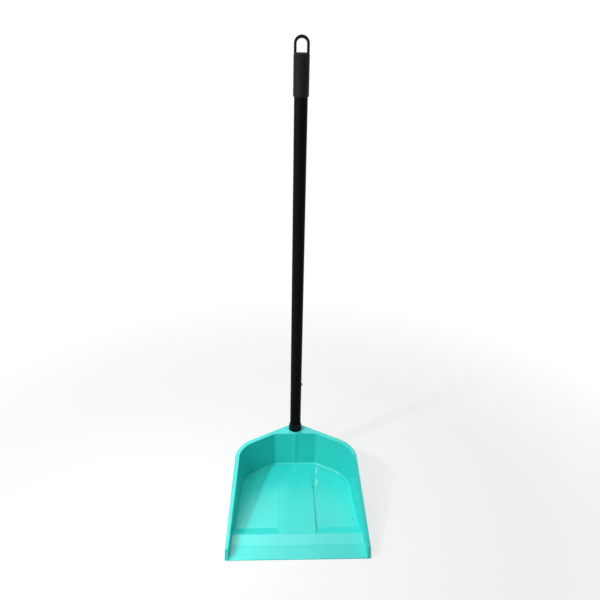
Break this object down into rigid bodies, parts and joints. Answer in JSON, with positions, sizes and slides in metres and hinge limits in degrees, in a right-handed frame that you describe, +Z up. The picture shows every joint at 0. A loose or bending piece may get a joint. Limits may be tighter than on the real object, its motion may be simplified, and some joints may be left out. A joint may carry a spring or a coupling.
{
  "type": "long-handled dustpan",
  "caption": "Long-handled dustpan: a moulded pan with a ramped lip and high back walls, and an upright tube handle with a hang loop that pushes into a socket at the back.",
  "frame": {"origin": "middle of the part's box at the height of the surface that the pan stands on", "axes": "+Z up along the handle, -Y out of the mouth of the pan, +X to the right as seen from in front of the mouth"},
  "size_m": [0.259, 0.2746, 0.8317],
  "materials": {
    "pan_plastic": "satin injection-moulded polypropylene",
    "tip_plastic": "satin moulded plastic",
    "tube_steel": "bare welded steel tube",
    "sleeve_vinyl": "satin black plastic coating",
    "rivet_steel": "blackened steel",
    "cap_plastic": "fine-textured moulded plastic"
  },
  "bodies": {
    "pan": {"pan": "pan_plastic"},
    "handle": {"handle_tip": "tip_plastic", "handle_tube": "tube_steel", "handle_sleeve": "sleeve_vinyl", "tip_rivet": "rivet_steel", "hang_cap": "cap_plastic"}
  },
  "joints": [
    {"name": "handle_pull", "type": "slide", "parent": "pan", "child": "handle", "axis": [0, 0, 1], "range_m": [0, 0.07]}
  ]
}
